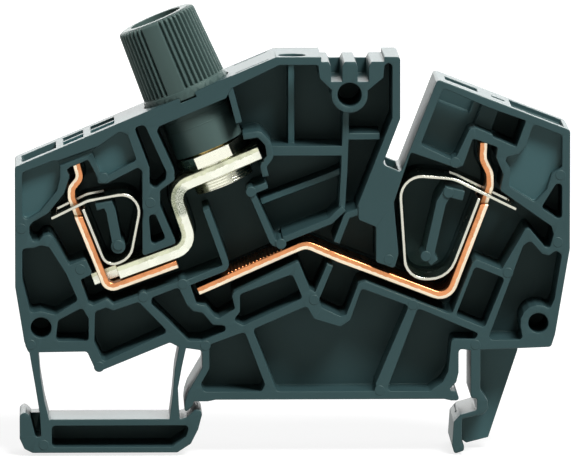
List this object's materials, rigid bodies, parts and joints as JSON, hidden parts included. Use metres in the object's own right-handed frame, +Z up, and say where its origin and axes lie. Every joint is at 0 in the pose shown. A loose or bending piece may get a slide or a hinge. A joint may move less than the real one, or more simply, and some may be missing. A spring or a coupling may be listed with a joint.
{
  "type": "fuse terminal block",
  "caption": "Rail-mounted fuse terminal block: an open ribbed moulding with tension clamps at both ends and a screw-in fluted fuse cap.",
  "frame": {"origin": "middle of the flat seat that rests on the rail, half way across the block", "axes": "X along the block with the cap at -X, Y across it from the open side to the back, Z up from the rail"},
  "size_m": [0.0689, 0.012, 0.0557],
  "materials": {
    "moulding": "satin",
    "cap_moulding": "satin",
    "copper": "rolled copper",
    "tinned_copper": "bright tin plating",
    "nickel_plated": "nickel plating",
    "brass": "turned",
    "spring_steel": "bright"
  },
  "bodies": {
    "block": {"housing": "moulding", "socket_nut": "nickel_plated", "socket_bar": "tinned_copper", "left_clamp_bar": "copper", "right_current_bar": "copper", "left_clamp_spring": "spring_steel", "right_clamp_spring": "spring_steel"},
    "cap_carriage": {"cap_pressure_spring": "spring_steel"},
    "cap": {"fuse_cap": "cap_moulding", "cap_contact_sleeve": "brass"},
    "contact": {"cap_contact_disc": "brass"}
  },
  "joints": [
    {"name": "cap_lift", "type": "slide", "parent": "block", "child": "cap_carriage", "axis": [-0.387, 0, 0.9221], "range_m": [0, 0.00487]},
    {"name": "cap_turn", "type": "hinge", "parent": "cap_carriage", "child": "cap", "pos_m": [-0.0184, -0.0004, 0.03814], "axis": [-0.387, 0, 0.9221], "range_deg": [0, 2340]},
    {"name": "contact_travel", "type": "slide", "parent": "cap_carriage", "child": "contact", "axis": [-0.387, 0, 0.9221], "range_m": [0, 0.002], "stiffness_N_per_m": 1500, "deforming": ["cap_pressure_spring"]}
  ],
  "couplings": [
    {"joint": "cap_turn", "follows": "cap_lift", "rad_per_m": 8377.6}
  ]
}
